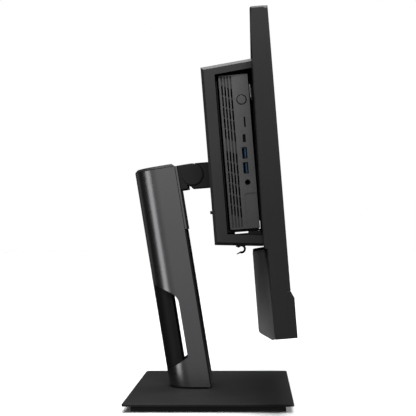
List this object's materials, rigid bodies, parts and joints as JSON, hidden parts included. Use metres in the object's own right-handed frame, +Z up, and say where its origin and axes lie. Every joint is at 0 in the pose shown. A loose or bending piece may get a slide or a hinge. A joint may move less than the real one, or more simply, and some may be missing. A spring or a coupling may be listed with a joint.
{
  "type": "all in one desktop computer",
  "caption": "Flat display on a swivelling, height-adjustable, tilting stand, with a small slim computer docked in an open frame behind the screen.",
  "frame": {"origin": "centre of the stand base's underside, on the desk", "axes": "+Z up, -Y the way the screen faces, +X to the right of a person facing the screen"},
  "size_m": [0.52, 0.1914, 0.43],
  "materials": {
    "stand_paint": "fine textured matte powder coat",
    "column_paint": "satin metallic dark grey",
    "charcoal_metal": "matte",
    "black_metal": "satin",
    "charcoal_plastic": "fine moulded texture",
    "black_plastic": "matte",
    "steel": "zinc plated",
    "port_metal": "plated",
    "aluminium": "satin",
    "circuit_board": "satin",
    "screen_glass": "anti-glare film",
    "rubber": "matte"
  },
  "bodies": {
    "base": {"base_top_plate": "stand_paint", "base_tray": "black_plastic", "ballast_plate": "steel", "foot_pad_1": "rubber", "foot_pad_2": "rubber", "foot_pad_3": "rubber", "foot_pad_4": "rubber", "swivel_bolt": "steel", "swivel_washer": "black_plastic"},
    "column": {"column_shell": "column_paint", "column_foot": "black_metal", "column_spine": "black_metal", "column_cap": "black_plastic", "channel_trim": "black_plastic", "lift_rail_left": "steel", "lift_rail_right": "steel", "gas_spring_cylinder": "black_metal", "swivel_nut": "steel"},
    "carriage": {"lift_carriage": "steel", "carriage_cover": "column_paint", "hinge_bracket": "charcoal_metal", "tilt_shaft": "charcoal_metal", "gas_spring_rod": "steel"},
    "head": {"tilt_arm": "charcoal_metal", "dock_frame": "charcoal_plastic", "mount_plate": "steel", "bay_liner": "black_metal", "adapter_plate": "black_metal", "bay_spring": "steel", "dock_latch": "black_plastic", "dock_connector": "black_plastic", "cable_hook": "black_plastic", "back_cover": "charcoal_plastic", "lower_rear_housing": "charcoal_plastic", "power_inlet": "black_plastic", "port_panel": "steel", "front_bezel": "charcoal_plastic", "chin_bar": "charcoal_plastic", "display_panel": "screen_glass", "backlight_pan": "aluminium", "scaler_board": "circuit_board", "power_board": "circuit_board", "speaker_left": "black_plastic", "speaker_right": "black_plastic"},
    "release_button": {"dock_release_button": "black_plastic"},
    "power_key": {"display_power_key": "black_plastic"},
    "menu_key_a": {"menu_key_1": "black_plastic"},
    "menu_key_b": {"menu_key_2": "black_plastic"},
    "computer": {"pc_front_bezel": "charcoal_plastic", "pc_chassis": "black_metal", "pc_side_cover": "black_metal", "pc_main_board": "circuit_board", "pc_cooler": "aluminium", "pc_drive": "aluminium", "pc_usb_port_upper": "port_metal", "pc_usb_port_lower": "port_metal", "pc_usb_c_port": "port_metal", "pc_audio_jack": "black_plastic"},
    "fan": {"pc_fan_rotor": "black_plastic"},
    "power_button": {"pc_power_button": "charcoal_plastic"}
  },
  "joints": [
    {"name": "swivel", "type": "hinge", "parent": "base", "child": "column", "pos_m": [0, 0.0266, 0.011], "axis": [0, 0, 1], "range_deg": [-45, 45]},
    {"name": "lift", "type": "slide", "parent": "column", "child": "carriage", "axis": [0, 0.1616, 0.9869], "range_m": [-0.06, 0]},
    {"name": "tilt", "type": "hinge", "parent": "carriage", "child": "head", "pos_m": [0, 0.0242, 0.2701], "axis": [-1, 0, 0], "range_deg": [-9.6, 17.4]},
    {"name": "dock_slide", "type": "slide", "parent": "head", "child": "computer", "axis": [-1, 0, 0], "range_m": [0, 0.15]},
    {"name": "release_press", "type": "slide", "parent": "head", "child": "release_button", "axis": [0, -0.9967, 0.0807], "range_m": [0, 0.0018], "stiffness_N_per_m": 600},
    {"name": "power_key_press", "type": "slide", "parent": "head", "child": "power_key", "axis": [0, 0.0807, 0.9967], "range_m": [0, 0.001], "stiffness_N_per_m": 600},
    {"name": "menu_key_a_press", "type": "slide", "parent": "head", "child": "menu_key_a", "axis": [0, 0.0807, 0.9967], "range_m": [0, 0.001], "stiffness_N_per_m": 600},
    {"name": "menu_key_b_press", "type": "slide", "parent": "head", "child": "menu_key_b", "axis": [0, 0.0807, 0.9967], "range_m": [0, 0.001], "stiffness_N_per_m": 600},
    {"name": "power_button_press", "type": "slide", "parent": "computer", "child": "power_button", "axis": [1, 0, 0], "range_m": [0, 0.001], "stiffness_N_per_m": 600},
    {"name": "fan_spin", "type": "hinge", "parent": "computer", "child": "fan", "pos_m": [-0.008, -0.02494, 0.33227], "axis": [0, 0.9967, -0.0807], "continuous": true}
  ]
}
